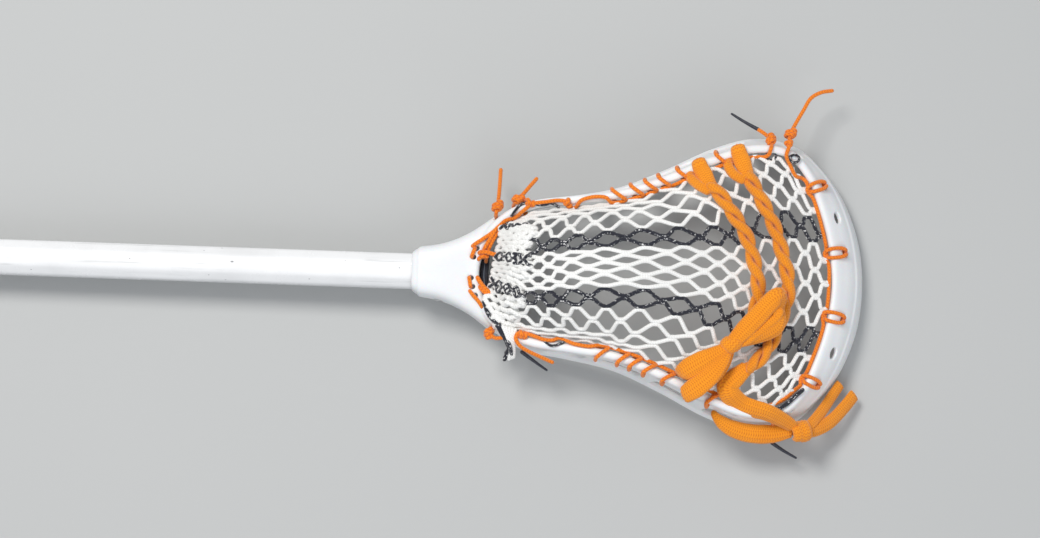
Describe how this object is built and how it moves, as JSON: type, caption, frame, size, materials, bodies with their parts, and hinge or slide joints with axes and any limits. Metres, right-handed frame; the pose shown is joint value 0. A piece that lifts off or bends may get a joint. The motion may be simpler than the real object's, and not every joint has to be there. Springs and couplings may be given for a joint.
{
  "type": "lacrosse stick",
  "caption": "Field lacrosse stick: octagonal alloy shaft with rubber butt cap, moulded open head, knitted pocket laced in with thin strings and crossed by twisted shooting laces.",
  "frame": {"origin": "centre of the butt cap's flat outer end, on the shaft's axis", "axes": "+X along the shaft from the butt cap to the scoop, +Y to the stick's left with its back up, +Z out of the back of the head, the side the pocket bulges to"},
  "size_m": [1.0296, 0.2331, 0.0869],
  "materials": {
    "shaft_alloy": "white painted aluminium alloy tube, lightly scuffed",
    "cap_rubber": "black moulded rubber",
    "head_plastic": "white moulded nylon, satin with fine scratches",
    "screw_steel": "zinc plated pan head screw",
    "stop_foam": "black closed-cell foam, matte",
    "net_cord": "knitted nylon cord, off-white with two dark flecked bands",
    "thin_string": "thin braided nylon string, orange",
    "lace_cotton": "flat knitted lace twisted into a rope, bright orange"
  },
  "bodies": {
    "stick": {"shaft": "shaft_alloy", "head_frame": "head_plastic", "ball_stop": "stop_foam", "pocket_net": "net_cord", "top_string": "thin_string", "sidewall_string_left": "thin_string", "sidewall_string_right": "thin_string", "bottom_string": "thin_string", "shooting_lace_rear": "lace_cotton", "shooting_lace_front": "lace_cotton"},
    "butt_cap": {"butt_cap": "cap_rubber"},
    "head_screw": {"head_screw": "screw_steel"}
  },
  "joints": [
    {"name": "butt_cap_pull", "type": "slide", "parent": "stick", "child": "butt_cap", "axis": [-1, 0, 0], "range_m": [0, 0.045]},
    {"name": "head_screw_draw", "type": "slide", "parent": "stick", "child": "head_screw", "axis": [0, -1, 0], "range_m": [0, 0.02]}
  ]
}
